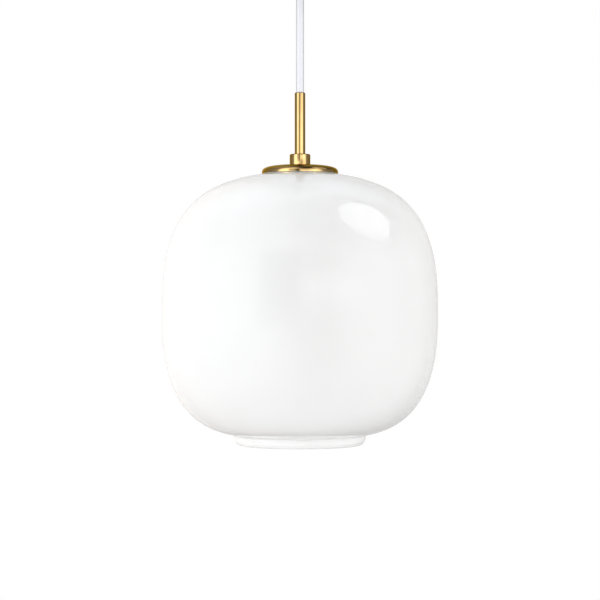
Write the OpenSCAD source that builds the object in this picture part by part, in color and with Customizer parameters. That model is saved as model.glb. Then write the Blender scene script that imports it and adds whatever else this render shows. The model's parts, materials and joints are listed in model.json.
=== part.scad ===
// Pendant ceiling light: opal glass shade hung by its cord from a ceiling canopy.
// Millimetres, +Z up. The origin is the centre of the face that meets the ceiling.

/* [Ceiling fitting] */
// Diameter of the canopy
canopy_d = 100; // [100:1:110]
// Height of the canopy
canopy_h = 50; // [50:1:60]
// Wall thickness of the canopy
canopy_wall = 1.2; // [1:0.1:1.6]
// Distance between the two ceiling screws
screw_spacing = 60; // [58:1:66]
// Diameter of the ceiling screw holes
screw_hole_d = 4.5; // [4:0.1:5]

/* [Cord] */
// Diameter of the round three-core cord
cord_d = 7.2; // [6.8:0.1:7.2]

/* [Stem and cap] */
// Outside diameter of the stem tube
stem_d = 9.6; // [9.4:0.1:10]
// Length of the stem that shows above the collar
stem_h = 56; // [40:1:90]
// Diameter of the collar
collar_d = 18.8; // [17:0.1:22]
// Height of the collar
collar_h = 10; // [9:0.1:14]
// Diameter of the cap
cap_d = 69.5; // [66:0.5:72]
// Height of the cap
cap_h = 9.2; // [8:0.1:12]
// Wall thickness of the cap
cap_wall = 1.2; // [1:0.1:1.5]

/* [Glass shade] */
// Largest diameter of the shade
shade_d = 250; // [244:1:256]
// Height of the shade above its widest plane
shade_rise = 128.7; // [126:0.1:132]
// Reach of the curve below the widest plane
shade_reach = 109.7; // [107:0.1:112]
// Wall thickness of the glass
shade_wall = 3; // [2.6:0.1:3.4]
// Diameter of the hole in the top of the glass
shade_hole_d = 42; // [42:0.5:43]
// Diameter of the neck ring at its top
neck_d = 119.4; // [116:0.1:122]
// Height of the neck ring
neck_h = 9.2; // [8.6:0.1:10]
// Diameter of the open mouth
mouth_d = 101; // [98:0.5:102]

/* [Lampholder and bulb] */
// Diameter of the lampholder
holder_d = 41; // [41:0.5:43]
// Diameter of the bulb's globe
bulb_d = 60; // [56:1:62]

/* [Hidden] */
$fn = 96;
// Overshoot of a cutting shape past the face that it cuts
cut = 1;

// Route of the free cord, from just inside the stem up to the cord grip
cord_route = [[0, 0, -149], [0, 0, -136], [0, 0, -124], [0, 0, -112],
    [0, 0, -100], [0, 0, -88], [0, 0, -76], [0, 0, -62]];
cord_sides = 12;
cord_lap = 3;
cord_gap = 0.3;
cord_r = cord_d / 2;
wire_r = 1.1;
wire_sides = 8;
wire_rings = 10;
// How far each core lies from the middle of the cord
core_off = 1.6;
wire_gap = 0.5;
sweep_side = [1, 0, 0];

// Ceiling bracket
bracket_t = 1.5;
bracket_w = 20;
bracket_l = canopy_d - 5.6;
ear_h = 14;
side_screw_z = -8;
side_screw_d = 4;
side_head_d = 8;
side_head_l = 3.2;
earth_x = 23;
earth_screw_d = 3;
canopy_round = 12;

// Terminal block
way_pitch = 12;
block_l = 36;
block_w = 16;
block_h = 12;
block_z = -bracket_t - block_h;
sleeve_z = block_z + block_h / 2;
sleeve_d = 4.4;
sleeve_bore = 2.8;
block_screw_d = 2.8;
block_screw_y = 4.5;

// Cord grip: its mouth is where the cord bends when the light swings
grip_drop = 8;
swing_z = -canopy_h - grip_drop;
grip_neck_d = 10;
grip_neck_h = 16;
grip_bore = 7.8;
grip_mouth_d = 10.4;
grip_mouth_depth = 5.5;
grip_flange_d = 18;
grip_tip_d = 14;
grip_nut_h = 3;
grip_screw_z = -canopy_h + 10;
m3 = 3;
anchored_bottom = swing_z + 3.8;
anchored_top = -canopy_h + grip_neck_h + 8;
bend_r = 3.4;

// Stem, collar and cap
stem_top = cord_route[0].z + cord_lap;
collar_top = stem_top - stem_h;
cap_top = collar_top - collar_h;
cap_rim = cap_top - cap_h;
stem_bore = 7.8;
stem_seat = 5;
shoulder_h = 0.8;
nipple_top = collar_top - stem_seat - shoulder_h;
stem_round = 0.8;
collar_round = 1;
nipple_d = 10;
nipple_bore = 8;
nipple_gap = 0.1;
cap_power = 3.5;
cap_gasket_t = 0.4;

// Glass outline: a superellipse above and another below the widest plane
rise_p = 2.986;
rise_q = 2.839;
reach_p = 4.024;
reach_q = 2.307;
neck_power = 2.5;
shade_r = shade_d / 2;
crown = 0.8;
shade_top = cap_rim - cap_gasket_t + crown;
shade_mid = shade_top - shade_rise;
seat_z = shade_top - shade_wall - 0.8;
neck_top = shade_mid - height_at(neck_d / 2, shade_r, shade_reach, reach_p, reach_q);
neck_bottom = neck_top - neck_h;
lip_r = 1.4;
lip_x = mouth_d / 2 + lip_r;
lip_flat = 0.8;
curve_steps = 36;
short_steps = 12;

// Stack that clamps the glass, from its seat down
gasket_t = 1.5;
gasket_od = 60;
plate_t = 1.5;
plate_od = 62;
plate_top = seat_z - gasket_t;
plate_bottom = plate_top - plate_t;
spigot_gap = 0.3;
spigot_wall = 1.4;
spigot_h = 3.6;
vent_d = 5;
vent_pitch_r = 13;
vents = 4;
washer_t = 0.8;
washer_d = 17;
nut_af = 17;
nut_h = 4;
nut_bottom = plate_bottom - washer_t - nut_h;

// Lampholder
holder_r = holder_d / 2;
holder_wall = 2;
holder_top = nut_bottom - 0.8;
dome_h = 17;
dome_power = 2.5;
dome_bottom = holder_top - 28.4;
skirt_h = 34;
skirt_bottom = dome_bottom - 0.2 - skirt_h;
sleeve_gap = 0.2;
sleeve_h = 6;
web_h = 2;
ledge_h = 1;
insert_d = 16;
insert_flange_d = 19.6;
insert_bottom = holder_top - 9.4;
nipple_bottom = insert_bottom + 0.2;
insert_screw_z = insert_bottom + 3.4;
lug_t = 1.6;
lug_w = 6;
lug_reach = 15;
lug_screw_y = 12.8;
clamp_h = 4.2;
clamp_d = 15;
clamp_top = insert_bottom - 0.2;
stem_cord_bottom = clamp_top - clamp_h - 1.6;
ceramic_top = dome_bottom + 4;
ceramic_bottom = ceramic_top - 11;
ceramic_d = 32.4;
terminal_x = 10;
terminal_size = [5, 7, 5];
terminal_z = ceramic_top + terminal_size.z / 2;

// Screw thread of the lampholder and of the bulb, drawn as rounded rings
thread_pitch = 3.63;
thread_depth = 0.35;
thread_points = 8;
thread_turns = 6;
shell_r = 13.9;
shell_wall = 0.4;
screw_cap_r = 12.6;

// Bulb
bulb_top = ceramic_bottom - 2.4;
contact_h = 1;
contact_d = 9.6;
vitrite_h = 3.6;
screw_cap_top = bulb_top - contact_h - vitrite_h;
screw_cap_h = 22;
screw_cap_bottom = screw_cap_top - screw_cap_h;
neck_flare_h = 27;
housing_bottom = screw_cap_bottom - neck_flare_h;
housing_top_r = 13.4;
housing_wall = 1.5;
globe_wall = 1;
globe_r = bulb_d / 2;
globe_seat_r = 21.5;
globe_z = housing_bottom - sqrt(pow(globe_r, 2) - pow(globe_seat_r, 2));
board_t = 1.2;

// Height over the widest plane at radius r of a superellipse of radius a and reach b
function height_at(r, a, b, p, q) = b * pow(1 - pow(r / a, p), 1 / q);

// Quarter superellipse from parameter t0 to t1, as [radius, height] pairs
function quarter(a, b, p, q, t0, t1, steps) = [for (i = [0 : steps])
    let (t = t0 + (t1 - t0) * i / steps) [a * pow(cos(t), 2 / p), b * pow(sin(t), 2 / q)]];

// Parameter at which the quarter superellipse has radius r
function turn_at(r, a, p) = acos(pow(r / a, p / 2));

// Outline points moved by x and z, with heights scaled by up (1 or -1)
function placed(points, x, z, up) = [for (p = points) [x + p.x, z + up * p.y]];

function arc(x, z, r, from, to, steps = short_steps) = [for (i = [0 : steps])
    let (t = from + (to - from) * i / steps) [x + r * cos(t), z + r * sin(t)]];

// Thread outline between two heights: radius r plus a cosine wave
function wave(r, top, turns) = [for (i = [0 : turns * thread_points])
    [r + thread_depth * cos(360 * i / thread_points), top - thread_pitch * i / thread_points]];

function flip(points) = [for (i = [len(points) - 1 : -1 : 0]) points[i]];

function bezier(a, b, c, d) = [for (i = [0 : wire_rings - 1]) let (t = i / (wire_rings - 1))
    pow(1 - t, 3) * a + 3 * t * pow(1 - t, 2) * b + 3 * t * t * (1 - t) * c + pow(t, 3) * d];

function unit(v) = v / norm(v);

function heading(path, i) = unit(path[min(i + 1, len(path) - 1)] - path[max(i - 1, 0)]);

function sweep_ring(path, i, r, sides) =
    let (t = heading(path, i), a = unit(cross(sweep_side, t)), b = cross(t, a))
    [for (k = [0 : sides - 1]) path[i] + r * (cos(360 * k / sides) * a + sin(360 * k / sides) * b)];

module sweep(path, r, sides) {
    rings = len(path);
    top = (rings - 1) * sides;
    points = [for (i = [0 : rings - 1]) each sweep_ring(path, i, r, sides)];
    walls = [for (i = [0 : rings - 2], k = [0 : sides - 1])
        let (a = i * sides + k, b = i * sides + (k + 1) % sides)
        each [[a, a + sides, b], [b, a + sides, b + sides]]];
    bottom_cap = [for (k = [0 : sides - 1]) k];
    top_cap = [for (k = [sides - 1 : -1 : 0]) top + k];
    polyhedron(points, concat([bottom_cap, top_cap], walls));
}

module wire(from, lead_out, lead_in, to) {
    sweep(bezier(from, lead_out, lead_in, to), wire_r, wire_sides);
}

// Plain tube between two heights
module tube(r_out, r_in, bottom, top) {
    translate([0, 0, bottom])
        difference() {
            cylinder(r = r_out, h = top - bottom);
            translate([0, 0, -cut]) cylinder(r = r_in, h = top - bottom + 2 * cut);
        }
}

// Hexagonal nut between two heights, with its bore
module hex_nut(across_flats, bore_r, bottom, top) {
    translate([0, 0, bottom])
        difference() {
            cylinder(d = across_flats / cos(30), h = top - bottom, $fn = 6);
            translate([0, 0, -cut]) cylinder(r = bore_r, h = top - bottom + 2 * cut);
        }
}

// ---- Ceiling fitting ----

module ceiling_bracket() {
    color("silver")
        difference() {
            union() {
                translate([-bracket_l / 2, -bracket_w / 2, -bracket_t])
                    cube([bracket_l, bracket_w, bracket_t]);
                for (side = [0, 1]) mirror([side, 0, 0])
                    translate([bracket_l / 2 - bracket_t, -bracket_w / 2, -ear_h])
                        cube([bracket_t, bracket_w, ear_h]);
            }
            for (side = [-1, 1]) translate([side * screw_spacing / 2, 0, -bracket_t - cut])
                cylinder(d = screw_hole_d, h = bracket_t + 2 * cut);
            translate([0, 0, side_screw_z]) rotate([0, 90, 0])
                cylinder(d = side_screw_d + 0.2, h = bracket_l + 2 * cut, center = true);
            translate([earth_x, 0, -bracket_t - cut])
                cylinder(d = earth_screw_d + 0.2, h = bracket_t + 2 * cut);
        }
}

module ceiling_canopy() {
    r = canopy_d / 2;
    inner = r - canopy_wall;
    round_z = -canopy_h + canopy_round;
    hole_r = grip_neck_d / 2 + 0.2;
    color("white")
        difference() {
            rotate_extrude() polygon(concat(
                [[r, 0]],
                arc(r - canopy_round, round_z, canopy_round, 0, -90),
                [[hole_r, -canopy_h], [hole_r, -canopy_h + canopy_wall]],
                arc(r - canopy_round, round_z, canopy_round - canopy_wall, -90, 0),
                [[inner, 0]]));
            translate([0, 0, side_screw_z]) rotate([0, 90, 0])
                cylinder(d = side_screw_d + 0.3, h = canopy_d + 2 * cut, center = true);
        }
}

module canopy_side_screws() {
    head_x = canopy_d / 2 + 0.05;
    shaft_l = 7;
    color("white")
        for (side = [0, 1]) mirror([side, 0, 0]) translate([head_x, 0, side_screw_z])
            rotate([0, 90, 0]) difference() {
                union() {
                    translate([0, 0, -shaft_l]) cylinder(d = side_screw_d, h = shaft_l + cut);
                    cylinder(d = side_head_d, h = side_head_l - 0.6);
                    translate([0, 0, side_head_l - 0.6])
                        cylinder(d1 = side_head_d, d2 = side_head_d - 1.2, h = 0.6);
                }
                translate([-side_head_d, -0.5, side_head_l - 1])
                    cube([2 * side_head_d, 1, 1 + cut]);
            }
}

module bracket_earth_screw() {
    head_top = -bracket_t - 2 * wire_r - 0.4;
    color("goldenrod")
        translate([earth_x, 0, 0]) difference() {
            union() {
                translate([0, 0, head_top - 1]) cylinder(d = earth_screw_d, h = 1 - head_top - 0.3);
                translate([0, 0, head_top - 2]) cylinder(d = 5.6, h = 2);
            }
            translate([-4, -0.4, head_top - 2 - cut]) cube([8, 0.8, 1 + cut]);
        }
}

module terminal_block() {
    color("ivory")
        difference() {
            translate([-block_l / 2, -block_w / 2, block_z]) cube([block_l, block_w, block_h]);
            for (way = [-1 : 1]) translate([way * way_pitch, 0, 0]) {
                translate([0, 0, sleeve_z]) rotate([90, 0, 0])
                    cylinder(d = sleeve_d + 0.1, h = block_w + 2 * cut, center = true);
                for (side = [-1, 1]) translate([0, side * block_screw_y, block_z - cut])
                    cylinder(d = block_screw_d + 0.4, h = sleeve_z - block_z + cut);
            }
        }
}

module terminal_sleeves() {
    color("gold")
        for (way = [-1 : 1]) translate([way * way_pitch, 0, sleeve_z]) rotate([90, 0, 0])
            difference() {
                cylinder(d = sleeve_d, h = block_w - 1, center = true);
                cylinder(d = sleeve_bore, h = block_w + cut, center = true);
            }
}

module terminal_screws() {
    screw_top = sleeve_z - sleeve_d / 2 - 0.1;
    color("silver")
        for (way = [-1 : 1], side = [-1, 1])
            translate([way * way_pitch, side * block_screw_y, block_z + 0.4])
                difference() {
                    cylinder(d = block_screw_d, h = screw_top - block_z - 0.4);
                    translate([-2, -0.3, -cut]) cube([4, 0.6, 0.8 + cut]);
                }
}

module cord_grip() {
    mouth_r = grip_mouth_d / 2;
    neck_r = grip_neck_d / 2;
    tip_r = grip_tip_d / 2;
    edge = 0.5;
    color("white")
        difference() {
            rotate_extrude() polygon(concat(
                [[mouth_r, swing_z]],
                arc(tip_r - edge, swing_z + edge, edge, -90, 0),
                [[grip_flange_d / 2, -canopy_h - 1.6], [grip_flange_d / 2, -canopy_h],
                 [neck_r, -canopy_h], [neck_r, -canopy_h + grip_neck_h],
                 [grip_bore / 2, -canopy_h + grip_neck_h],
                 [grip_bore / 2, swing_z + grip_mouth_depth + 1],
                 [mouth_r, swing_z + grip_mouth_depth]]));
            translate([0, 0, grip_screw_z]) rotate([-90, 0, 0])
                cylinder(d = m3 + 0.2, h = neck_r + cut);
        }
}

module cord_grip_locknut() {
    floor_z = -canopy_h + canopy_wall;
    color("white") hex_nut(15, grip_neck_d / 2 + nipple_gap, floor_z, floor_z + grip_nut_h);
}

module cord_grip_clamp_screw() {
    color("white")
        translate([0, cord_r + 0.05, grip_screw_z]) rotate([-90, 0, 0]) difference() {
            cylinder(d = m3, h = 6);
            translate([-2, -0.3, 5]) cube([4, 0.6, 1 + cut]);
        }
}

module anchored_cord() {
    color("whitesmoke")
        translate([0, 0, anchored_bottom]) cylinder(r = cord_r, h = anchored_top - anchored_bottom);
}

// Core from the top of the anchored cord into one way of the terminal block
module mains_wire(core, way) {
    wire([core.x, core.y, anchored_top + wire_gap], [core.x, core.y, anchored_top + 12],
        [way * way_pitch, -28, sleeve_z], [way * way_pitch, -5, sleeve_z]);
}

module mains_live_wire() {
    color("saddlebrown") mains_wire([-core_off, -0.8], -1);
}

module mains_neutral_wire() {
    color("steelblue") mains_wire([core_off, -0.8], 0);
}

module mains_earth_wire() {
    wire_z = -bracket_t - wire_r - 0.2;
    color("yellowgreen")
        wire([0, core_off, anchored_top + wire_gap], [0, core_off, anchored_top + 9],
            [earth_x, 34, wire_z], [earth_x, earth_screw_d / 2 + 0.6, wire_z]);
}

// ---- Free cord ----

module cord_bend() {
    color("whitesmoke") translate([0, 0, swing_z]) sphere(r = bend_r);
}

module cord() {
    color("whitesmoke") sweep(cord_route, cord_r, cord_sides);
}

// ---- Stem, collar and cap ----

module stem() {
    r = stem_d / 2;
    bore_r = stem_bore / 2;
    bottom = collar_top - stem_seat;
    color("goldenrod")
        rotate_extrude() polygon(concat(
            [[bore_r, bottom], [r, bottom]],
            arc(r - stem_round, stem_top - stem_round, stem_round, 0, 90),
            [[bore_r, stem_top]]));
}

module stem_cord() {
    top = cord_route[0].z - cord_gap;
    color("whitesmoke")
        translate([0, 0, stem_cord_bottom]) cylinder(r = cord_r, h = top - stem_cord_bottom);
}

module collar() {
    r = collar_d / 2;
    seat = collar_top - stem_seat;
    seat_r = stem_d / 2 + 0.05;
    thread_r = nipple_d / 2 + nipple_gap;
    color("goldenrod")
        rotate_extrude() polygon(concat(
            [[thread_r, cap_top], [r, cap_top]],
            arc(r - collar_round, collar_top - collar_round, collar_round, 0, 90),
            [[seat_r, collar_top], [seat_r, seat], [stem_bore / 2 + 0.2, seat],
             [stem_bore / 2 + 0.2, nipple_top], [thread_r, nipple_top]]));
}

module cap() {
    r = cap_d / 2;
    hole_r = nipple_d / 2 + 0.2;
    n = cap_power;
    inner_r = r - cap_wall;
    inner_h = cap_h - cap_wall;
    outer = quarter(r, cap_h, n, n, 0, turn_at(hole_r, r, n), curve_steps);
    inner = quarter(inner_r, inner_h, n, n, 0, turn_at(hole_r, inner_r, n), curve_steps);
    color("goldenrod")
        rotate_extrude() polygon(placed(concat(outer, flip(inner)), 0, cap_rim, 1));
}

module cap_gasket() {
    color("lightgrey")
        tube(cap_d / 2 - 0.25, cap_d / 2 - 2.4, cap_rim - cap_gasket_t, cap_rim);
}

// ---- Glass shade ----

module shade() {
    hole_r = shade_hole_d / 2;
    inner_r = shade_r - shade_wall;
    inner_rise = shade_rise - shade_wall;
    inner_reach = shade_reach - shade_wall;
    neck_r = neck_d / 2;
    neck_inner = neck_r - shade_wall;
    seat_turn = asin(pow((seat_z - shade_mid) / inner_rise, rise_q / 2));
    outer_top = quarter(shade_r, shade_rise, rise_p, rise_q,
        turn_at(hole_r, shade_r, rise_p), 0, curve_steps);
    outer_low = quarter(shade_r, shade_reach, reach_p, reach_q,
        0, turn_at(neck_r, shade_r, reach_p), curve_steps);
    inner_low = quarter(inner_r, inner_reach, reach_p, reach_q,
        turn_at(neck_inner, inner_r, reach_p), 0, curve_steps);
    inner_top = quarter(inner_r, inner_rise, rise_p, rise_q, 0, seat_turn, curve_steps);
    lip_end = lip_x + lip_flat;
    neck_outer = quarter(neck_r - lip_end, neck_h, neck_power, neck_power, 0, 90, short_steps);
    inner_curl = neck_h - 2 * lip_r;
    neck_in = quarter(neck_inner - lip_x, inner_curl, neck_power, neck_power, 90, 0, short_steps);
    color("white")
        rotate_extrude() polygon(concat(
            placed(outer_top, 0, shade_mid, 1),
            placed(outer_low, 0, shade_mid, -1),
            placed(neck_outer, lip_end, neck_top, -1),
            arc(lip_x, neck_bottom + lip_r, lip_r, -90, -270),
            placed(neck_in, lip_x, neck_top, -1),
            placed(inner_low, 0, shade_mid, -1),
            placed(inner_top, 0, shade_mid, 1),
            [[hole_r, seat_z]]));
}

module shade_gasket() {
    color("lightgrey") tube(gasket_od / 2, shade_hole_d / 2 + 0.3, plate_top, seat_z);
}

module carrier_plate() {
    spigot_r = shade_hole_d / 2 - spigot_gap;
    color("silver")
        difference() {
            union() {
                tube(plate_od / 2, nipple_d / 2 + 0.2, plate_bottom, plate_top);
                tube(spigot_r, spigot_r - spigot_wall, plate_bottom, plate_top + spigot_h);
            }
            for (i = [0 : vents - 1]) rotate(45 + 360 * i / vents)
                translate([vent_pitch_r, 0, plate_bottom - cut])
                    cylinder(d = vent_d, h = plate_t + 2 * cut);
        }
}

module threaded_nipple() {
    color("silver") tube(nipple_d / 2, nipple_bore / 2, nipple_bottom, nipple_top);
}

module lock_washer() {
    split = 2;
    color("silver")
        difference() {
            tube(washer_d / 2, nipple_d / 2 + 0.2, plate_bottom - washer_t, plate_bottom);
            translate([0, -split / 2, plate_bottom - washer_t - cut])
                cube([washer_d, split, washer_t + 2 * cut]);
        }
}

module clamp_nut() {
    color("silver")
        hex_nut(nut_af, nipple_d / 2 + nipple_gap, nut_bottom, plate_bottom - washer_t);
}

// ---- Lampholder ----

module holder_entry_insert() {
    r = insert_d / 2;
    bore_r = nipple_d / 2 + nipple_gap;
    flange_z = holder_top - 4.6;
    color("silver")
        difference() {
            union() {
                tube(r, bore_r, insert_bottom, holder_top - 0.3);
                tube(insert_flange_d / 2, bore_r, flange_z, flange_z + 1.2);
                translate([-lug_w / 2, r - 0.5, insert_bottom])
                    cube([lug_w, lug_reach - r, lug_t]);
            }
            translate([0, 0, insert_screw_z]) rotate([0, 90, 0]) cylinder(d = m3 + 0.2, h = r + cut);
            translate([0, lug_screw_y, insert_bottom - cut]) cylinder(d = m3, h = lug_t + 2 * cut);
        }
}

module holder_grub_screw() {
    color("dimgray")
        translate([nipple_d / 2 + 0.05, 0, insert_screw_z]) rotate([0, 90, 0]) difference() {
            cylinder(d = m3, h = 3.4);
            translate([0, 0, 2.2]) cylinder(d = 1.5 / cos(30), h = 2, $fn = 6);
        }
}

module holder_earth_screw() {
    head_h = 1.6;
    color("goldenrod")
        translate([0, lug_screw_y, insert_bottom]) difference() {
            union() {
                translate([0, 0, -head_h]) cylinder(d = 4.2, h = head_h);
                translate([0, 0, -cut]) cylinder(d = m3 - 0.2, h = lug_t + cut);
            }
            translate([-3, -0.3, -head_h - cut]) cube([6, 0.6, 0.7 + cut]);
        }
}

module cord_clamp_collar() {
    bottom = clamp_top - clamp_h;
    slit = 1;
    color("ivory")
        difference() {
            tube(clamp_d / 2, cord_r + 0.05, bottom, clamp_top);
            translate([0, -slit / 2, bottom - cut]) cube([clamp_d, slit, clamp_h + 2 * cut]);
        }
}

module holder_dome() {
    inner_r = holder_r - holder_wall;
    hole_r = insert_d / 2 + 0.05;
    inner_h = dome_h - holder_wall;
    n = dome_power;
    spring = holder_top - dome_h;
    outer = quarter(holder_r, dome_h, n, n, 0, turn_at(hole_r, holder_r, n), short_steps);
    inner = quarter(inner_r, inner_h, n, n, 0, turn_at(hole_r, inner_r, n), short_steps);
    color("white")
        rotate_extrude() polygon(concat(
            [[holder_r, dome_bottom]],
            placed(outer, 0, spring, 1),
            placed(flip(inner), 0, spring, 1),
            [[inner_r, dome_bottom]]));
}

module holder_skirt() {
    top = dome_bottom - 0.2;
    inner_r = holder_r - holder_wall;
    sleeve_out = inner_r - sleeve_gap;
    sleeve_in = ceramic_d / 2 + 0.3;
    ledge_in = sleeve_in - 1.4;
    web_z = top - web_h;
    color("white")
        rotate_extrude() polygon([[holder_r, skirt_bottom], [holder_r, top], [sleeve_out, top],
            [sleeve_out, top + sleeve_h], [sleeve_in, top + sleeve_h],
            [sleeve_in, web_z + ledge_h], [ledge_in, web_z + ledge_h], [ledge_in, web_z],
            [inner_r, web_z], [inner_r, skirt_bottom]]);
}

module holder_insulator() {
    ledge_top = dome_bottom - 0.2 - web_h + ledge_h;
    step_r = ceramic_d / 2 - 1.3;
    color("ivory")
        difference() {
            union() {
                translate([0, 0, ledge_top]) cylinder(d = ceramic_d, h = ceramic_top - ledge_top);
                translate([0, 0, ceramic_bottom])
                    cylinder(r = step_r, h = ledge_top - ceramic_bottom + cut);
            }
            translate([0, 0, ceramic_bottom - cut]) cylinder(r = 2.1, h = 30);
        }
}

module holder_screw_shell() {
    outline = wave(shell_r + shell_wall, ceramic_bottom, thread_turns);
    inline = wave(shell_r, ceramic_bottom, thread_turns);
    color("gold") rotate_extrude() polygon(concat(outline, flip(inline)));
}

module holder_centre_contact() {
    tongue_l = 12;
    tongue_w = 4;
    tongue_t = 0.4;
    color("gold") {
        translate([0, 0, ceramic_bottom - 1.6]) cylinder(r = 2, h = 9);
        translate([-tongue_w / 2, -tongue_l / 2, ceramic_bottom - 1.6 - tongue_t])
            cube([tongue_w, tongue_l, tongue_t]);
    }
}

module holder_terminals() {
    color("gold")
        for (side = [-1, 1]) translate([side * terminal_x, 0, terminal_z]) difference() {
            cube(terminal_size, center = true);
            rotate([90, 0, 0]) cylinder(r = wire_r + 0.2, h = terminal_size.y + cut, center = true);
            translate([side * terminal_size.x / 2, 1.8, 0]) rotate([0, side * -90, 0])
                translate([0, 0, -cut]) cylinder(d = 2.2, h = 1.6 + cut);
        }
}

module holder_terminal_screws() {
    color("silver")
        for (side = [0, 1]) mirror([side, 0, 0])
            translate([terminal_x + terminal_size.x / 2 - 1.4, 1.8, terminal_z])
                rotate([0, 90, 0]) cylinder(d = 2, h = 2.6);
}

// Core from the bottom of the stem's cord into one lampholder terminal
module lamp_wire(side) {
    x = side * terminal_x;
    start_z = stem_cord_bottom - wire_gap;
    wire([side * core_off, -0.8, start_z], [side * core_off, -0.8, start_z - 4],
        [x, -16, terminal_z], [x, 1.8 - terminal_size.y / 2, terminal_z]);
}

module lamp_live_wire() {
    color("saddlebrown") lamp_wire(-1);
}

module lamp_neutral_wire() {
    color("steelblue") lamp_wire(1);
}

module lamp_earth_wire() {
    y = clamp_d / 2 + wire_r + 0.4;
    start_z = stem_cord_bottom - wire_gap;
    color("yellowgreen")
        wire([0, core_off, start_z], [0, core_off, start_z - 4],
            [0, y + 1.6, start_z - 4], [0, y, insert_bottom - 0.4]);
}

// ---- Bulb ----

module bulb_globe() {
    inner_r = globe_r - globe_wall;
    rise = housing_bottom - globe_z;
    pole = -88;
    outer = arc(0, globe_z, globe_r, asin(rise / globe_r), pole, curve_steps);
    inner = arc(0, globe_z, inner_r, pole, asin(rise / inner_r), curve_steps);
    color("white") rotate_extrude() polygon(concat(
        outer, [[0, outer[curve_steps].y], [0, inner[0].y]], inner));
}

module bulb_housing() {
    power = 1.6;
    steps = short_steps;
    flare = globe_seat_r - housing_top_r;
    outer = [for (i = [0 : steps]) [housing_top_r + flare * pow(i / steps, power),
        screw_cap_bottom - neck_flare_h * i / steps]];
    inner = [for (p = flip(outer)) [p.x - housing_wall, p.y]];
    color("white") rotate_extrude() polygon(concat(outer, inner));
}

module bulb_led_board() {
    board_r = globe_seat_r - housing_wall - 1.2;
    color("white")
        translate([0, 0, housing_bottom + 0.2]) cylinder(r = board_r, h = board_t);
}

module bulb_driver_board() {
    size = [1.6, 15, 20];
    color("seagreen")
        translate([-size.x / 2, -size.y / 2, housing_bottom + board_t + 0.4]) cube(size);
}

module bulb_screw_cap() {
    shelf_r = 9;
    thread_h = thread_pitch * (thread_turns - 1);
    plain = screw_cap_top - screw_cap_bottom - thread_h;
    outline = wave(screw_cap_r, screw_cap_top, thread_turns - 1);
    foot_r = screw_cap_r + thread_depth;
    foot_z = screw_cap_top - thread_h - plain;
    shelf = 2;
    inline = [for (i = [len(outline) - 1 : -1 : shelf])
        [outline[i].x - shell_wall, outline[i].y]];
    color("silver")
        rotate_extrude() polygon(concat(outline,
            [[foot_r, foot_z], [foot_r - shell_wall, foot_z]], inline,
            [[shelf_r, outline[shelf].y], [shelf_r, screw_cap_top]]));
}

module bulb_insulator() {
    color("black")
        translate([0, 0, screw_cap_top]) cylinder(r1 = 12, r2 = contact_d / 2, h = vitrite_h);
}

module bulb_contact() {
    color("silver") translate([0, 0, bulb_top - contact_h]) cylinder(d = contact_d, h = contact_h);
}

ceiling_bracket();
ceiling_canopy();
canopy_side_screws();
bracket_earth_screw();
terminal_block();
terminal_sleeves();
terminal_screws();
cord_grip();
cord_grip_locknut();
cord_grip_clamp_screw();
anchored_cord();
mains_live_wire();
mains_neutral_wire();
mains_earth_wire();
cord_bend();
cord();
stem();
stem_cord();
collar();
cap();
cap_gasket();
shade();
shade_gasket();
carrier_plate();
threaded_nipple();
lock_washer();
clamp_nut();
holder_entry_insert();
holder_grub_screw();
holder_earth_screw();
cord_clamp_collar();
holder_dome();
holder_skirt();
holder_insulator();
holder_screw_shell();
holder_centre_contact();
holder_terminals();
holder_terminal_screws();
lamp_live_wire();
lamp_neutral_wire();
lamp_earth_wire();
bulb_globe();
bulb_housing();
bulb_led_board();
bulb_driver_board();
bulb_screw_cap();
bulb_insulator();
bulb_contact();
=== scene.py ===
"""Looks of the pendant ceiling light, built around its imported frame.

Lengths are in metres. +Z is up, the ceiling is at z = 0 and the light hangs along the Z axis.
"""
import json
import math

import bmesh
import bpy
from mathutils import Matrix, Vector


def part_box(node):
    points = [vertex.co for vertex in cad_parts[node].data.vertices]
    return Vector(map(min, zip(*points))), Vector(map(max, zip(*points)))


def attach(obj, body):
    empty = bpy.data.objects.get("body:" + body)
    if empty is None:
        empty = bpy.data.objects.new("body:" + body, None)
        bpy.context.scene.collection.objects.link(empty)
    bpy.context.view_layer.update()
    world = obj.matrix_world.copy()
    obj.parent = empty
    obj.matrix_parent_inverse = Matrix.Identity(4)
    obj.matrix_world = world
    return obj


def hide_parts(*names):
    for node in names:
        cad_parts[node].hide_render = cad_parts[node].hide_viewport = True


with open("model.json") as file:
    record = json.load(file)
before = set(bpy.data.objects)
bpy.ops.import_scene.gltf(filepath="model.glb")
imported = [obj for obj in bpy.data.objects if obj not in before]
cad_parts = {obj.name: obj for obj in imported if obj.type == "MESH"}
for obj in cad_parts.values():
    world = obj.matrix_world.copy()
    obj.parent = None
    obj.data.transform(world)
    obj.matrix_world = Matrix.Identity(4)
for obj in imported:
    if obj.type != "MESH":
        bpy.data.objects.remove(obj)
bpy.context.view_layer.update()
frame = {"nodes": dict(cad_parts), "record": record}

MM = 0.001
SHARP = math.radians(32)  # edges that turn more than this are shaded as sharp

# Route of the free cord, as in part.scad, and the point that it swings about
CORD_ROUTE = [(0, 0, -0.149), (0, 0, -0.136), (0, 0, -0.124), (0, 0, -0.112),
              (0, 0, -0.100), (0, 0, -0.088), (0, 0, -0.076), (0, 0, -0.062)]
CORD_D = 7.2 * MM
SWING = Vector((0, 0, -0.058))

# Outline of the glass: a superellipse above its widest plane and another below it, each as its
# height, its power across and its power along the axis
RISE = (128.7 * MM, 2.986, 2.839)
REACH = (109.7 * MM, 4.024, 2.307)
GLASS_WALL = 3 * MM
CREST = (2.5 * MM, 75 * MM)  # extra rise of the glass at its axis, and the radius where it fades out
CAP_LIFT = 1.4 * MM          # the cap's rim sits this much higher, on that rise


# ---- Outlines, as lists of (radius, height) ----

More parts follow.
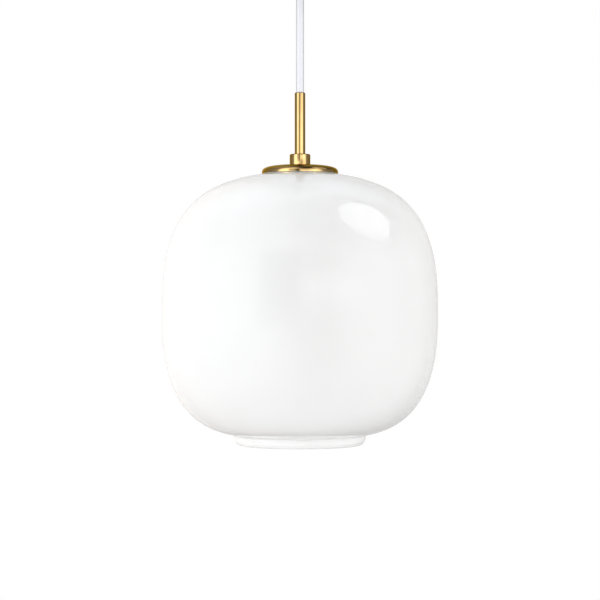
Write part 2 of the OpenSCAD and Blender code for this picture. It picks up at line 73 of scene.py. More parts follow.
def arc(x, z, r, start, end, steps=10):
    """Arc from one angle to another, in degrees."""
    turn = [math.radians(start + (end - start) * i / steps) for i in range(steps + 1)]
    return [(x + r * math.cos(t), z + r * math.sin(t)) for t in turn]


def quarter(a, b, p, q, start, end, steps):
    """Quarter superellipse of radius a and reach b, between two parameter angles in radians."""
    turn = [start + (end - start) * i / steps for i in range(steps + 1)]
    return [(a * abs(math.cos(t)) ** (2 / p), b * abs(math.sin(t)) ** (2 / q)) for t in turn]


def turn_at(r, a, p):
    """Parameter angle at which the quarter superellipse has radius r."""
    return math.acos((r / a) ** (p / 2))


def placed(points, x, z, up):
    """Points moved to start from (x, z), upright where up is 1 and turned over where it is -1."""
    return [(x + px, z + up * pz) for px, pz in points]


def soft_corner(before, corner, after, steps=8):
    """Quadratic curve that rounds a corner between two points."""
    points = []
    for i in range(steps + 1):
        t = i / steps
        weights = ((1 - t) ** 2, 2 * t * (1 - t), t * t)
        points.append(tuple(sum(w * p[k] for w, p in zip(weights, (before, corner, after)))
                            for k in (0, 1)))
    return points


def reach(node):
    """Outer radius, bottom and top of a round CAD node on the light's axis."""
    low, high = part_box(node)
    return high.x, low.z, high.z


# ---- Mesh building ----

def mesh_object(name, verts, faces):
    mesh = bpy.data.meshes.new(name)
    mesh.from_pydata(verts, [], faces)
    build = bmesh.new()
    build.from_mesh(mesh)
    bmesh.ops.remove_doubles(build, verts=build.verts, dist=1e-7)
    bmesh.ops.recalc_face_normals(build, faces=build.faces)
    for face in build.faces:
        face.smooth = True
    build.to_mesh(mesh)
    build.free()
    mesh.set_sharp_from_angle(angle=SHARP)
    obj = bpy.data.objects.new(name, mesh)
    bpy.context.scene.collection.objects.link(obj)
    return obj


def lathe(name, outline, segments, shape=None):
    """Closed solid of revolution about the light's axis, from an outline of (radius, height) points.

    shape(r, z, turn), where it is given, returns the radius that a point gets instead.
    """
    verts = []
    for r, z in outline:
        for k in range(segments):
            turn = 2 * math.pi * k / segments
            radius = shape(r, z, turn) if shape else r
            verts.append((radius * math.cos(turn), radius * math.sin(turn), z))
    faces = []
    rows = len(outline)
    for i in range(rows):
        below = i * segments
        above = (i + 1) % rows * segments
        for k in range(segments):
            step = (k + 1) % segments
            faces.append((below + k, below + step, above + step, above + k))
    return mesh_object(name, verts, faces)


def finished(obj, material, body, slot, *nodes):
    """Gives a piece its material and its body, and hides the CAD nodes that it stands for; slot is not
    used.
    """
    obj.data.materials.clear()
    obj.data.materials.append(material)
    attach(obj, body)
    if nodes:
        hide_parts(*nodes)


# ---- Materials ----

def worked_out(tree, kind, operation, *values):
    """Output of a new math node. Each value is a number, a vector or another node's output."""
    node = tree.nodes.new(kind)
    node.operation = operation
    for socket, value in zip(node.inputs, values):
        if isinstance(value, bpy.types.NodeSocket):
            tree.links.new(value, socket)
        else:
            socket.default_value = value
    return node.outputs[0]


class Shader:
    """A node material with a Principled shader, and short ways to add procedural detail to it."""

    def __init__(self, name, base, roughness, **sockets):
        self.material = bpy.data.materials.new(name)
        self.material.use_nodes = True
        self.nodes = self.material.node_tree.nodes
        self.links = self.material.node_tree.links
        self.bsdf = self.nodes["Principled BSDF"]
        self.base = base
        self.roughness = roughness
        self.set("Base Color", (*base, 1))
        self.set("Roughness", roughness)
        for socket, value in sockets.items():
            self.set(socket.replace("_", " "), value)
        self.coords = self.nodes.new("ShaderNodeTexCoord").outputs["Object"]
        self.material.diffuse_color = (*base, 1)

    def set(self, socket, value):
        self.bsdf.inputs[socket].default_value = value

    def stretched(self, scale):
        """Object coordinates, stretched by a factor along each axis."""
        mapping = self.nodes.new("ShaderNodeMapping")
        mapping.inputs["Scale"].default_value = scale
        self.links.new(self.coords, mapping.inputs["Vector"])
        return mapping.outputs["Vector"]

    def turned(self, across, along):
        """Coordinates that follow a turned surface: position round the axis, height and radius."""
        split = self.nodes.new("ShaderNodeSeparateXYZ")
        self.links.new(self.coords, split.inputs[0])
        angle = self.math("ARCTAN2", split.outputs["Y"], split.outputs["X"])
        square = self.math("ADD", self.math("POWER", split.outputs["X"], 2.0),
                           self.math("POWER", split.outputs["Y"], 2.0))
        radius = self.math("SQRT", square)
        join = self.nodes.new("ShaderNodeCombineXYZ")
        self.links.new(self.math("MULTIPLY", angle, across), join.inputs["X"])
        self.links.new(self.math("MULTIPLY", radius, along), join.inputs["Y"])
        self.links.new(self.math("MULTIPLY", split.outputs["Z"], along), join.inputs["Z"])
        return join.outputs[0]

    def math(self, operation, a, b=0.0):
        return worked_out(self.material.node_tree, "ShaderNodeMath", operation, a, b)

    def noise(self, scale, detail=3.0, coords=None):
        node = self.nodes.new("ShaderNodeTexNoise")
        node.inputs["Scale"].default_value = scale
        node.inputs["Detail"].default_value = detail
        self.links.new(coords or self.coords, node.inputs["Vector"])
        return node.outputs["Fac"]

    def speckle(self, scale, coords=None):
        node = self.nodes.new("ShaderNodeTexVoronoi")
        node.inputs["Scale"].default_value = scale
        self.links.new(coords or self.coords, node.inputs["Vector"])
        return node.outputs["Distance"]

    def ranged(self, value, low, high, source=(0.3, 0.7)):
        """Maps value from the source range onto low to high."""
        node = self.nodes.new("ShaderNodeMapRange")
        node.inputs["From Min"].default_value = source[0]
        node.inputs["From Max"].default_value = source[1]
        node.inputs["To Min"].default_value = low
        node.inputs["To Max"].default_value = high
        self.links.new(value, node.inputs["Value"])
        return node.outputs["Result"]

    def vary_roughness(self, value, spread):
        """Lets the roughness go up and down by spread with value."""
        result = self.ranged(value, self.roughness - spread, self.roughness + spread)
        self.links.new(result, self.bsdf.inputs["Roughness"])

    def vary_colour(self, value, other, source=(0.3, 0.7)):
        """Blends the base colour towards another one by value."""
        mix = self.nodes.new("ShaderNodeMix")
        mix.data_type = "RGBA"
        mix.inputs["A"].default_value = (*self.base, 1)
        mix.inputs["B"].default_value = (*other, 1)
        self.links.new(self.ranged(value, 0.0, 1.0, source), mix.inputs["Factor"])
        self.links.new(mix.outputs["Result"], self.bsdf.inputs["Base Color"])

    def painted_edge_shade(self, start, end, factor):
        """Painted shade: scales the base colour down to factor as the surface turns away from the eye.

        start and end are how far it has turned: 0 faces the eye and 1 is edge-on.
        """
        facing = self.nodes.new("ShaderNodeLayerWeight")
        facing.inputs["Blend"].default_value = 0.5
        shade = self.ranged(facing.outputs["Facing"], 1.0, factor, (start, end))
        socket = self.bsdf.inputs["Base Color"]
        scale = self.nodes.new("ShaderNodeVectorMath")
        scale.operation = "SCALE"
        self.links.new(socket.links[0].from_socket, scale.inputs[0])
        self.links.new(shade, scale.inputs["Scale"])
        self.links.new(scale.outputs[0], socket)

    def bump(self, *layers):
        """Chained bumps. Each layer is (height, strength, distance)."""
        normal = None
        for height, strength, distance in layers:
            node = self.nodes.new("ShaderNodeBump")
            node.inputs["Strength"].default_value = strength
            node.inputs["Distance"].default_value = distance
            self.links.new(height, node.inputs["Height"])
            if normal:
                self.links.new(normal, node.inputs["Normal"])
            normal = node.outputs["Normal"]
        self.links.new(normal, self.bsdf.inputs["Normal"])


def opal_glass():
    """White opal glass: an even white body under clear gloss, with the faint waves of blown glass."""
    s = Shader("opal_glass", (0.967, 0.967, 0.962), 0.012, IOR=1.5, Subsurface_Weight=0.85,
               Subsurface_Radius=(1, 1, 1), Subsurface_Scale=0.01)
    s.vary_colour(s.noise(14, 2), (0.955, 0.957, 0.955))
    s.vary_roughness(s.noise(60, 4), 0.004)
    s.bump((s.noise(22, 1), 0.12, 0.00035), (s.noise(900, 2), 0.03, 0.00002))
    return s.material


def polished_brass():
    """Turned, polished and lacquered brass with fine lines round the axis; painted shade darkens its
    edges.
    """
    s = Shader("polished_brass", (0.69, 0.48, 0.215), 0.1, Metallic=1.0,
               Specular_Tint=(0.95, 0.7, 0.33, 1))
    lines = s.noise(1, 4, s.turned(1.5, 5200))
    s.vary_colour(s.noise(90, 3), (0.65, 0.44, 0.185))
    # painted shade: the colour darkens where the surface turns away from the eye
    s.painted_edge_shade(0.13, 0.21, 0.22)
    s.vary_roughness(lines, 0.03)
    s.bump((lines, 0.12, 0.00001), (s.noise(120, 2), 0.12, 0.00004))
    return s.material


def contact_brass():
    """Plain, slightly tarnished brass of the contacts and sleeves."""
    s = Shader("contact_brass", (0.78, 0.56, 0.25), 0.3, Metallic=1.0)
    s.vary_colour(s.noise(260, 4), (0.62, 0.41, 0.18))
    s.vary_roughness(s.noise(500, 4), 0.1)
    s.bump((s.noise(1500, 3), 0.2, 0.00002))
    return s.material


def zinc_steel():
    """Zinc-plated steel: small spangles, brushed along one way."""
    s = Shader("zinc_steel", (0.6, 0.61, 0.63), 0.34, Metallic=1.0)
    s.vary_colour(s.speckle(420), (0.74, 0.74, 0.72), (0.1, 0.8))
    s.vary_roughness(s.noise(1, 5, s.stretched((40, 2200, 2200))), 0.1)
    s.bump((s.noise(1, 5, s.stretched((60, 3000, 3000))), 0.25, 0.00002))
    return s.material


def white_paint():
    """Satin powder coat with its orange-peel texture."""
    s = Shader("white_paint", (0.78, 0.78, 0.77), 0.36, IOR=1.5)
    s.vary_colour(s.noise(40, 3), (0.755, 0.755, 0.742))
    s.vary_roughness(s.noise(700, 3), 0.06)
    s.bump((s.noise(620, 2), 0.35, 0.00006), (s.noise(2600, 2), 0.15, 0.00002))
    return s.material


def white_flex():
    """Smooth white sheath of a cord, with faint marks along it from its making; painted shade darkens
    its edges.
    """
    s = Shader("white_flex", (0.735, 0.742, 0.79), 0.32, IOR=1.5)
    s.vary_colour(s.noise(1, 3, s.stretched((500, 500, 26))), (0.72, 0.729, 0.776))
    # painted shade: the colour darkens where the surface turns away from the eye
    s.painted_edge_shade(0.15, 0.75, 0.42)
    s.vary_roughness(s.noise(900, 4), 0.07)
    s.bump((s.noise(1, 3, s.stretched((1500, 1500, 40))), 0.1, 0.00004),
           (s.noise(3000, 2), 0.12, 0.00001))
    return s.material


def moulded(name, base, other, roughness, grain=1200, **sockets):
    """Moulded plastic with a fine even grain and slight flow marks."""
    s = Shader(name, base, roughness, IOR=1.5, **sockets)
    s.vary_colour(s.noise(70, 4), other)
    s.vary_roughness(s.noise(grain / 2, 4), 0.25 * roughness)
    s.bump((s.noise(grain, 3), 0.2, 0.00003), (s.noise(90, 2), 0.1, 0.0001))
    return s.material


def glazed_porcelain():
    """Cream porcelain under a glaze, with faint specks."""
    s = Shader("glazed_porcelain", (0.88, 0.865, 0.82), 0.16, IOR=1.52,
               Coat_Weight=0.6, Coat_Roughness=0.05)
    s.vary_colour(s.noise(180, 5), (0.83, 0.81, 0.75))
    s.vary_roughness(s.noise(400, 3), 0.05)
    s.bump((s.noise(260, 3), 0.3, 0.00008))
    return s.material


def striped_sheath():
    """Green and yellow stripes that run along a core, told apart by the way that its surface faces."""
    s = Shader("green_yellow_sheath", (0.12, 0.42, 0.1), 0.42, IOR=1.5)
    facing = s.nodes.new("ShaderNodeSeparateXYZ")
    s.links.new(s.nodes.new("ShaderNodeTexCoord").outputs["Normal"], facing.inputs[0])
    s.vary_colour(facing.outputs["X"], (0.82, 0.7, 0.07), (-0.05, 0.05))
    s.vary_roughness(s.noise(1400, 3), 0.08)
    s.bump((s.noise(2000, 3), 0.2, 0.00002))
    return s.material


def nickel_cap():
    """Dull nickel plating with fine lines that run round the bulb's cap."""
    s = Shader("nickel_cap", (0.7, 0.69, 0.66), 0.22, Metallic=1.0)
    s.vary_colour(s.noise(240, 4), (0.58, 0.56, 0.52))
    s.vary_roughness(s.noise(1, 4, s.turned(2, 3800)), 0.08)
    s.bump((s.noise(1, 4, s.turned(2, 4200)), 0.2, 0.00002))
    return s.material


def circuit_board():
    """Green board with copper tracks under the mask."""
    s = Shader("circuit_board", (0.03, 0.2, 0.09), 0.3, IOR=1.5)
    tracks = s.speckle(520, s.stretched((1, 1, 0.35)))
    s.vary_colour(tracks, (0.1, 0.36, 0.16), (0.42, 0.5))
    s.vary_roughness(s.noise(800, 3), 0.08)
    s.bump((tracks, 0.4, 0.00008))
    return s.material


def aluminium_board():
    """White-coated board with a pattern of small square light chips."""
    s = Shader("aluminium_board", (0.86, 0.86, 0.84), 0.4, IOR=1.5)
    chips = s.nodes.new("ShaderNodeTexBrick")
    for socket, value in (("Scale", 180.0), ("Mortar Size", 0.12), ("Brick Width", 0.6),
                          ("Row Height", 0.6)):
        chips.inputs[socket].default_value = value
    s.links.new(s.coords, chips.inputs["Vector"])
    s.vary_colour(chips.outputs["Fac"], (0.86, 0.72, 0.2), (0.4, 0.0))
    s.vary_roughness(s.noise(900, 3), 0.1)
    s.bump((chips.outputs["Fac"], 0.3, 0.0002))
    return s.material


MATERIALS = {
    "opal_glass": opal_glass(),
    "polished_brass": polished_brass(),
    "contact_brass": contact_brass(),
    "zinc_steel": zinc_steel(),
    "white_paint": white_paint(),
    "white_flex": white_flex(),
    "white_nylon": moulded("white_nylon", (0.76, 0.76, 0.75), (0.73, 0.73, 0.715), 0.4),
    "clear_silicone": moulded("clear_silicone", (0.78, 0.79, 0.78), (0.7, 0.71, 0.7), 0.48, 900,
                              Subsurface_Weight=0.4, Subsurface_Scale=0.002),
    "white_resin": moulded("white_resin", (0.86, 0.855, 0.83), (0.83, 0.82, 0.79), 0.24),
    "glazed_porcelain": glazed_porcelain(),
    "brown_sheath": moulded("brown_sheath", (0.22, 0.09, 0.04), (0.17, 0.07, 0.03), 0.42),
    "blue_sheath": moulded("blue_sheath", (0.05, 0.2, 0.55), (0.04, 0.16, 0.46), 0.42),
    "green_yellow_sheath": striped_sheath(),
    "bulb_diffuser": moulded("bulb_diffuser", (0.92, 0.92, 0.9), (0.9, 0.9, 0.87), 0.5, 2200,
                             Subsurface_Weight=0.25, Subsurface_Scale=0.004),
    "bulb_shell": moulded("bulb_shell", (0.88, 0.88, 0.87), (0.85, 0.85, 0.84), 0.26),
    "nickel_cap": nickel_cap(),
    "black_vitrite": moulded("black_vitrite", (0.015, 0.015, 0.018), (0.03, 0.03, 0.03), 0.18),
    "circuit_board": circuit_board(),
    "aluminium_board": aluminium_board(),
}

# ---- Camera: a long lens, nearly level with the middle of the glass ----

CAMERA_DISTANCE = 1.68
LENS_MM, SENSOR_MM = 111, 36
LOOK_UP = 0.31  # degrees above level

glass_low, glass_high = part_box("shade")
glass_r = glass_high.x
eye_z = (glass_low.z + glass_high.z) / 2
camera_data = bpy.data.cameras.new("camera")
camera_data.lens = LENS_MM
camera_data.sensor_width = SENSOR_MM
camera = bpy.data.objects.new("camera", camera_data)
camera.location = (0, -CAMERA_DISTANCE, eye_z)
camera.rotation_euler = (math.radians(90 + LOOK_UP), 0, 0)
bpy.context.scene.collection.objects.link(camera)
bpy.context.scene.camera = camera


# ---- Cord: hangs straight from the ceiling fitting into the stem ----

def hanging_cord():
    """Straight round cord, cut square inside the stem and rounded where it bends in the grip."""
    steps, cut_edge = 24, 0.3 * MM
    rows = [cord_low + (SWING.z - cord_low) * i / steps for i in range(1, steps + 1)]
    outline = [(0, cord_low), (cord_r - cut_edge, cord_low), *((cord_r, z) for z in rows),
               *arc(0, SWING.z, cord_r, 5, 90, 16)]
    return lathe("flex_cord", outline, segments=64)


cord_r = CORD_D / 2
cord_low = CORD_ROUTE[0][2]
flex_cord = hanging_cord()
finished(flex_cord, MATERIALS["white_flex"], "hanging_cord", "white_flex", "cord", "cord_bend")


# ---- Glass shade ----

def glass_shade():
    """One blown piece: body, neck ring with its groove, and a lip curled into the open mouth."""
    neck_r, neck_h, mouth_r, hole_r = 59.7 * MM, 9.2 * MM, 50.5 * MM, 21 * MM
    lip_r, lip_flat = 1.4 * MM, 0.8 * MM
    rise, rise_p, rise_q = RISE
    depth, depth_p, depth_q = REACH
    neck_bottom = glass_low.z
    neck_top = neck_bottom + neck_h
    mid = neck_top + depth * (1 - (neck_r / glass_r) ** depth_p) ** (1 / depth_q)
    lip_x = mouth_r + lip_r
    lip_end = lip_x + lip_flat
    inner_r = glass_r - GLASS_WALL
    neck_in = neck_r - GLASS_WALL
    inner_rise, inner_depth = rise - GLASS_WALL, depth - GLASS_WALL
    ground_off = 0.8 * MM  # the inside is ground flat round the hole, this far down
    seat_z = mid + rise - GLASS_WALL - ground_off
    seat_turn = math.asin(((seat_z - mid) / inner_rise) ** (rise_q / 2))

    body = placed(quarter(glass_r, rise, rise_p, rise_q,
                          turn_at(hole_r, glass_r, rise_p), 0, 110), 0, mid, 1)
    crest, crest_r = CREST
    body = [(r, z + crest * math.cos(math.pi / 2 * min(1.0, r / crest_r)) ** 2) for r, z in body]
    body += placed(quarter(glass_r, depth, depth_p, depth_q,
                           0, turn_at(neck_r, glass_r, depth_p), 90), 0, mid, -1)[1:]
    neck = placed(quarter(neck_r - lip_end, neck_h, 2.5, 2.5, 0, math.pi / 2, 90),
                  lip_end, neck_top, -1)
    groove_z, groove_w, groove_d = neck_bottom + 2.5 * MM, 0.45 * MM, 0.32 * MM
    neck = [(r - groove_d * math.exp(-((z - groove_z) / groove_w) ** 2), z) for r, z in neck]
    body_cut, neck_cut = 1.3 * MM, 1.17 * MM  # how much of each the soft corner between them takes up
    body = [p for p in body if p[1] > mid or p[0] - neck_r > body_cut]
    neck = [p for p in neck if neck_top - p[1] > neck_cut]
    blend = soft_corner(body[-1], (neck_r, neck_top), neck[0])
    curl_h = neck_h - 2 * lip_r
    inside = placed(quarter(neck_in - lip_x, curl_h, 2.5, 2.5, math.pi / 2, 0, 20),
                    lip_x, neck_top, -1)
    inside += placed(quarter(inner_r, inner_depth, depth_p, depth_q,
                             turn_at(neck_in, inner_r, depth_p), 0, 60), 0, mid, -1)
    inside += placed(quarter(inner_r, inner_rise, rise_p, rise_q, 0, seat_turn, 60), 0, mid, 1)[1:]
    outline = (body + blend[1:-1] + neck
               + arc(lip_x, neck_bottom + lip_r, lip_r, -90, -270, 16)
               + inside + [(hole_r, seat_z)])
    return lathe("glass_shade", outline, segments=320)


finished(glass_shade(), MATERIALS["opal_glass"], "pendant", "opal_glass", "shade")


# ---- Brass: stem, collar and cap ----

stem_r, stem_low, stem_top = reach("stem")


def brass_stem():
    """Tube with its top edge rounded, outside and round the bore."""
    bore_r, edge_r, bore_edge_r = 3.9 * MM, 0.8 * MM, 0.3 * MM
    return lathe("brass_stem", [(bore_r, stem_low), (stem_r, stem_low)]
                 + arc(stem_r - edge_r, stem_top - edge_r, edge_r, 0, 90, 10)
                 + arc(bore_r + bore_edge_r, stem_top - bore_edge_r, bore_edge_r, 90, 180, 4),
                 segments=128)


def brass_collar():
    """Turned ring that the stem stands in, on a shoulder, with the nipple's hole below it."""
    collar_r, collar_low, collar_top = reach("collar")
    nipple_r, shoulder_r, shoulder_h = 5.1 * MM, 4.1 * MM, 0.8 * MM
    foot_r, edge_r = 0.25 * MM, MM
    seat_r = stem_r + 0.05 * MM
    return lathe("brass_collar", [(nipple_r, collar_low)]
                 + arc(collar_r - foot_r, collar_low + foot_r, foot_r, -90, 0, 4)
                 + arc(collar_r - edge_r, collar_top - edge_r, edge_r, 0, 90, 12)
                 + [(seat_r, collar_top), (seat_r, stem_low), (shoulder_r, stem_low),
                    (shoulder_r, stem_low - shoulder_h), (nipple_r, stem_low - shoulder_h)],
                 segments=192)


def brass_cap():
    """Shallow spun dome whose rim rests on the glass, on its washer."""
    cap_r, cap_low, cap_top = reach("cap")
    wall, hole_r, power = 1.2 * MM, 5.2 * MM, 3.5
    cap_low += CAP_LIFT
    height = cap_top - cap_low
    inner_r, inner_h = cap_r - wall, height - wall
    outer = quarter(cap_r, height, power, power, 0, turn_at(hole_r, cap_r, power), 110)
    inner = quarter(inner_r, inner_h, power, power, turn_at(hole_r, inner_r, power), 0, 60)
    return lathe("brass_cap", placed(outer + inner, 0, cap_low, 1), segments=320)


def cap_washer():
    """Thin clear washer between the cap's rim and the glass, held back so that it doesn't show."""
    low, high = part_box("cap_gasket")
    inner_r, outer_r, edge = high.x - 2.15 * MM, high.x - 0.6 * MM, 0.1 * MM
    low_z, top_z = low.z + CAP_LIFT, high.z + CAP_LIFT
    return lathe("cap_washer", [(inner_r, low_z), (outer_r - edge, low_z), (outer_r, low_z + edge),
                                (outer_r, top_z), (inner_r, top_z)], segments=256)


finished(brass_stem(), MATERIALS["polished_brass"], "pendant", "polished_brass", "stem")
finished(brass_collar(), MATERIALS["polished_brass"], "pendant", "polished_brass", "collar")
finished(brass_cap(), MATERIALS["polished_brass"], "pendant", "polished_brass", "cap")
finished(cap_washer(), MATERIALS["clear_silicone"], "pendant", "clear_silicone", "cap_gasket")


# ---- Lampholder and bulb ----

THREAD_PITCH, THREAD_DEPTH = 3.63 * MM, 0.35 * MM
SHELL_WALL = 0.4 * MM
SAME = 0.01 * MM  # radii closer than this count as one


def thread(top, turns, fade=0.5):
    """Shape for lathe: adds a helical thread that fades in and out over part of a turn at its ends."""
    def shape(r, z, turn):
        along = (top - z) / THREAD_PITCH
        edge = max(0.0, min(1.0, along / fade, (turns - along) / fade))
        return r + THREAD_DEPTH * edge * math.cos(2 * math.pi * along - turn)
    return shape


def holder_dome():
    """Upper half of the lampholder: a plain cover with a hole for the entry insert."""
    r, low, top = reach("holder_dome")
    wall, height, hole_r, power = 2 * MM, 17 * MM, 8.05 * MM, 2.5
    foot_r = 0.4 * MM
    spring = top - height
    inner_r = r - wall
    outer = placed(quarter(r, height, power, power, 0, turn_at(hole_r, r, power), 48), 0, spring, 1)
    inner = placed(quarter(inner_r, height - wall, power, power,
                           turn_at(hole_r, inner_r, power), 0, 24), 0, spring, 1)
    foot = arc(r - foot_r, low + foot_r, foot_r, -90, 0, 4)
    return lathe("holder_cover", foot + outer + inner + [(inner_r, low)], segments=192)


def holder_skirt():
    """Lower half of the lampholder: a fluted skirt with a lap that goes up into the dome."""
    r, low, _ = reach("holder_skirt")
    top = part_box("holder_dome")[0].z - 0.2 * MM
    inner_r = r - 2 * MM
    lap_out, lap_in, lap_top = inner_r - 0.2 * MM, 16.5 * MM, top + 6 * MM
    web_z, ledge_z, ledge_in = top - 2 * MM, top - MM, 15.1 * MM
    flutes, flute_d, flute_end = 36, 0.35 * MM, 2 * MM
    rib_low, rib_top = low + 5 * MM, top - 3 * MM
    foot_r, edge_r, mouth_r = 0.6 * MM, 0.4 * MM, 0.5 * MM
    steps = 24
    wall = [(r, rib_low + (rib_top - rib_low) * i / steps) for i in range(steps + 1)]

    def ribbed(radius, z, turn):
        """Shallow flutes round the outside, for the fingers."""
        if radius < r - SAME or not rib_low <= z <= rib_top:
            return radius
        ends = min(1.0, (z - rib_low) / flute_end, (rib_top - z) / flute_end)
        return radius - flute_d * ends * (0.5 - 0.5 * math.cos(flutes * turn))

    outline = (arc(r - foot_r, low + foot_r, foot_r, -90, 0, 5) + wall
               + arc(r - edge_r, top - edge_r, edge_r, 0, 90, 4)
               + [(lap_out, top), (lap_out, lap_top), (lap_in, lap_top), (lap_in, ledge_z),
                  (ledge_in, ledge_z), (ledge_in, web_z), (inner_r, web_z)]
               + arc(inner_r + mouth_r, low + mouth_r, mouth_r, 180, 270, 4))
    return lathe("holder_skirt_ribbed", outline, segments=12 * flutes, shape=ribbed)


def thread_rows(low, top, steps=120):
    """Heights close enough together to carry the thread."""
    return [low + (top - low) * i / steps for i in range(steps + 1)]


def screw_shell():
    """Thin pressed shell of the lampholder, threaded over its whole height."""
    _, low, top = reach("holder_screw_shell")
    r = 13.9 * MM
    rows = thread_rows(low, top)
    outline = [(r + SHELL_WALL, z) for z in rows] + [(r, z) for z in reversed(rows)]
    helix = thread(top, (top - low) / THREAD_PITCH)
    return lathe("screw_shell", outline, segments=96, shape=helix)


def bulb_cap():
    """Thin pressed cap of the bulb, threaded, with a shelf at its top that holds the glass insulator."""
    _, low, top = reach("bulb_screw_cap")
    r, shelf_r, shelf_t, turns = 12.6 * MM, 9 * MM, 0.9 * MM, 5
    rows = thread_rows(low, top)
    shelf_z = top - shelf_t
    inner = [(r - SHELL_WALL, z) for z in reversed(rows) if z < shelf_z]
    outline = [(r, z) for z in rows] + [(shelf_r, top), (shelf_r, shelf_z)] + inner
    helix = thread(top, turns)

    def threaded(radius, z, turn):
        return helix(radius, z, turn) if radius > r - SHELL_WALL - SAME else radius
    return lathe("bulb_threaded_cap", outline, segments=96, shape=threaded)


def bulb_globe():
    """Frosted globe, cut off where it meets the housing."""
    globe_r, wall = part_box("bulb_globe")[1].x, MM
    _, low, top = reach("bulb_globe")
    centre = low + globe_r
    rise = top - centre
    outer_turn = math.degrees(math.asin(rise / globe_r))
    inner_turn = math.degrees(math.asin(rise / (globe_r - wall)))
    outline = (arc(0, centre, globe_r, outer_turn, -90, 96)
               + arc(0, centre, globe_r - wall, -90, inner_turn, 48))
    return lathe("bulb_diffuser_globe", outline, segments=192)


def bulb_housing():
    """Flared shell between the bulb's cap and its globe."""
    _, low, top = reach("bulb_housing")
    top_r, seat_r, wall, power = 13.4 * MM, 21.5 * MM, 1.5 * MM, 1.6
    groove_at, groove_w, groove_d = 0.93, 0.018, 0.5 * MM  # the first two as shares of the height
    steps = 64

    def flare(i):
        """Radius of the flared shell, with a shallow groove just above the globe."""
        t = i / steps
        groove = groove_d * math.exp(-((t - groove_at) / groove_w) ** 2)
        return top_r + (seat_r - top_r) * t ** power - groove

    outer = [(flare(i), top - (top - low) * i / steps) for i in range(steps + 1)]
    inner = [(r - wall, z) for r, z in reversed(outer)]
    return lathe("bulb_shell", outer + inner, segments=192)


finished(holder_dome(), MATERIALS["white_resin"], "pendant", "white_resin", "holder_dome")
finished(holder_skirt(), MATERIALS["white_resin"], "pendant", "white_resin", "holder_skirt")
finished(screw_shell(), MATERIALS["contact_brass"], "pendant", "contact_brass", "holder_screw_shell")
finished(bulb_cap(), MATERIALS["nickel_cap"], "bulb", "nickel_cap", "bulb_screw_cap")
finished(bulb_globe(), MATERIALS["bulb_diffuser"], "bulb", "bulb_diffuser", "bulb_globe")
finished(bulb_housing(), MATERIALS["bulb_shell"], "bulb", "bulb_shell", "bulb_housing")


# ---- Carried-over CAD nodes: each takes the material of its own slot ----

for part in frame["record"]["subparts"]:
    node = frame["nodes"][part["node"]]
    if node.hide_render:
        continue
    node.data.materials.clear()
    node.data.materials.append(MATERIALS[part["material_slot"]])


# ---- Studio: white surroundings with large soft panels, an octagonal softbox and a pale floor ----

world = bpy.data.worlds.new("studio")
bpy.context.scene.world = world
world.use_nodes = True
tree = world.node_tree
tree.nodes.clear()


def world_math(operation, *values):
    return worked_out(tree, "ShaderNodeMath", operation, *values)


def soft_step(value, inner, outer):
    """1 up to inner, falling smoothly to 0 at outer."""
    node = tree.nodes.new("ShaderNodeMapRange")
    node.interpolation_type = "SMOOTHSTEP"
    for socket, v in (("From Min", inner), ("From Max", outer), ("To Min", 1.0), ("To Max", 0.0)):
        node.inputs[socket].default_value = v
    tree.links.new(value, node.inputs["Value"])
    return node.outputs["Result"]


# Direction towards a point of the surroundings, as its distance from the axis and its elevation
sky = tree.nodes.new("ShaderNodeSeparateXYZ")
tree.links.new(tree.nodes.new("ShaderNodeTexCoord").outputs["Generated"], sky.inputs[0])
square = world_math("ADD", world_math("POWER", sky.outputs["X"], 2.0),
                    world_math("POWER", sky.outputs["Y"], 2.0))
across = world_math("MAXIMUM", world_math("SQRT", square), 1e-4)
elevation = world_math("ARCSINE", sky.outputs["Z"])


def panel(azimuth, height, half_width, half_height, soft):
    """Mask of a panel of light with soft edges. All its measures are angles in degrees.

    Azimuth 0 is the side that the camera stands on, and 90 is at the right in its view.
    """
    az, el = math.radians(azimuth), math.radians(height)
    dot = world_math("ADD", world_math("MULTIPLY", sky.outputs["X"], math.sin(az)),
                     world_math("MULTIPLY", sky.outputs["Y"], -math.cos(az)))
    turn = world_math("ARCCOSINE", world_math("DIVIDE", dot, across))
    lift = world_math("ABSOLUTE", world_math("SUBTRACT", elevation, el))
    w, h, s = (math.radians(v) for v in (half_width, half_height, soft))
    return world_math("MULTIPLY", soft_step(turn, w - s / 2, w + s / 2),
                      soft_step(lift, h - s / 2, h + s / 2))


LEAST_LIGHT = 0.05     # no part of the surroundings is darker than this
FILL = (0.305, -0.05)  # strength and coolness of the light from everywhere
PANELS = [
    # azimuth, height, half width, half height, softness, strength, coolness
    (-37, 2, 57, 37, 102, 2.27, 0.02),     # broad key light at the front left
    (77, -32, 45, 53, 28, 0.78, 0.02),     # low light at the right
    (55, 10, 23, 34, 50, 1.34, 0.03),      # front right
    (-112, 68, 50, 15, 59, 1.74, 0.09),    # high at the left
    (155, 70, 25, 25, 33, 0.9, 0.1),       # high at the back right
    (-137, 2, 33, 61, 16, 0.33, -0.14),    # back left
    (180, 12, 55, 30, 30, 0.38, 0),        # back
    (28, 6, 24, 4, 8, 1.0, 0),             # thin strip, for the light line down the brass
    (-18, 12, 16, 14, 8, -1.4, 0),         # takes light away, for the dark line down the brass
    (27, 24, 37, 46, 34, -0.87, 0.04),     # takes light away at the front right
    (20, -60, 75, 16, 26, -0.17, 0),       # takes light away low at the front
]


def tinted(strength, cool):
    """Red, green and blue of a light: bluer where cool is above 0 and warmer where it is below."""
    return strength * (1 - cool), strength, strength * (1 + 0.6 * cool)


def colour_math(operation, *values):
    return worked_out(tree, "ShaderNodeVectorMath", operation, *values)


light = tinted(*FILL)
for azimuth, height, half_width, half_height, soft, strength, cool in PANELS:
    light = colour_math("MULTIPLY_ADD", panel(azimuth, height, half_width, half_height, soft),
                        tinted(strength, cool), light)
light = colour_math("MAXIMUM", light, (LEAST_LIGHT,) * 3)

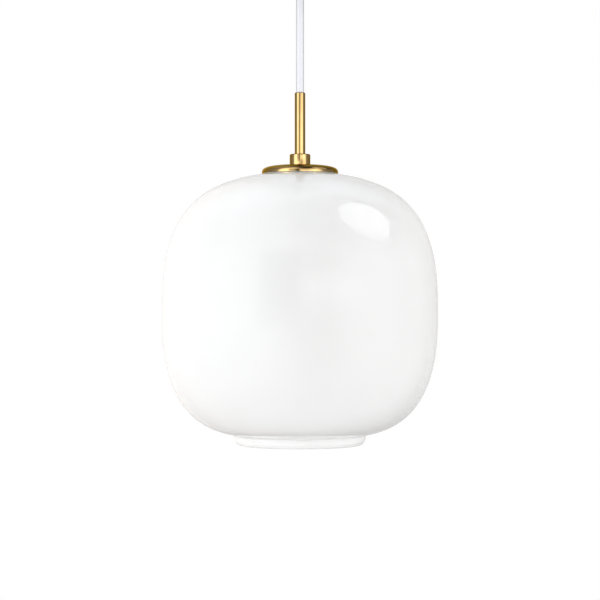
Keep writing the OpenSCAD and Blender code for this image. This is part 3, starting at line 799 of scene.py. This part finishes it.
camera_ray = tree.nodes.new("ShaderNodeLightPath").outputs["Is Camera Ray"]
mix = tree.nodes.new("ShaderNodeMix")
mix.data_type = "RGBA"
mix.inputs["B"].default_value = (1, 1, 1, 1)
tree.links.new(camera_ray, mix.inputs["Factor"])
tree.links.new(light, mix.inputs["A"])
background = tree.nodes.new("ShaderNodeBackground")
tree.links.new(mix.outputs["Result"], background.inputs["Color"])
output = tree.nodes.new("ShaderNodeOutputWorld")
tree.links.new(background.outputs[0], output.inputs["Surface"])


def softbox(azimuth, height, distance, across, strength, rim_share=0.75):
    """Regular octagonal softbox that faces the glass, brightest at its middle."""
    az, el = math.radians(azimuth), math.radians(height)
    centre = Vector((0, 0, eye_z))
    away = Vector((math.sin(az) * math.cos(el), -math.cos(az) * math.cos(el), math.sin(el)))
    mesh = bpy.data.meshes.new("softbox")
    build = bmesh.new()
    middle = build.verts.new((0, 0, 0))
    sides = 8
    turns = [2 * math.pi * (k + 0.5) / sides for k in range(sides)]
    rim = [build.verts.new((across / 2 * math.cos(t), across / 2 * math.sin(t), 0)) for t in turns]
    for k in range(sides):
        build.faces.new((middle, rim[k], rim[(k + 1) % sides]))
    build.to_mesh(mesh)
    build.free()
    box = bpy.data.objects.new("softbox", mesh)
    box.location = centre + distance * away
    box.rotation_mode = "QUATERNION"
    box.rotation_quaternion = away.to_track_quat("Z", "Y")
    material = bpy.data.materials.new("softbox")
    material.use_nodes = True
    nodes, links = material.node_tree.nodes, material.node_tree.links
    nodes.clear()
    emission = nodes.new("ShaderNodeEmission")
    length = nodes.new("ShaderNodeVectorMath")
    length.operation = "LENGTH"
    links.new(nodes.new("ShaderNodeTexCoord").outputs["Object"], length.inputs[0])
    fall = nodes.new("ShaderNodeMapRange")
    fall.inputs["From Max"].default_value = across / 2
    fall.inputs["To Min"].default_value = strength
    fall.inputs["To Max"].default_value = rim_share * strength
    links.new(length.outputs["Value"], fall.inputs["Value"])
    links.new(fall.outputs["Result"], emission.inputs["Strength"])
    links.new(emission.outputs[0], nodes.new("ShaderNodeOutputMaterial").inputs["Surface"])
    mesh.materials.append(material)
    box.visible_camera = False
    bpy.context.scene.collection.objects.link(box)


def pale_floor(radius, height):
    """Plain round floor, well below the light."""
    mesh = bpy.data.meshes.new("floor")
    build = bmesh.new()
    bmesh.ops.create_circle(build, cap_ends=True, segments=96, radius=radius)
    build.to_mesh(mesh)
    build.free()
    floor = bpy.data.objects.new("floor", mesh)
    floor.location = (0, 0, height)
    s = Shader("floor", (0.78, 0.78, 0.77), 0.6)
    s.vary_colour(s.noise(3, 4), (0.76, 0.76, 0.75))
    s.bump((s.noise(60, 4), 0.1, 0.001))
    mesh.materials.append(s.material)
    bpy.context.scene.collection.objects.link(floor)


softbox(azimuth=78, height=47, distance=1.5, across=1.09, strength=3.0)
pale_floor(radius=1.2, height=-2.4)

scene = bpy.context.scene
scene.view_settings.view_transform = "Standard"
scene.view_settings.look = "None"
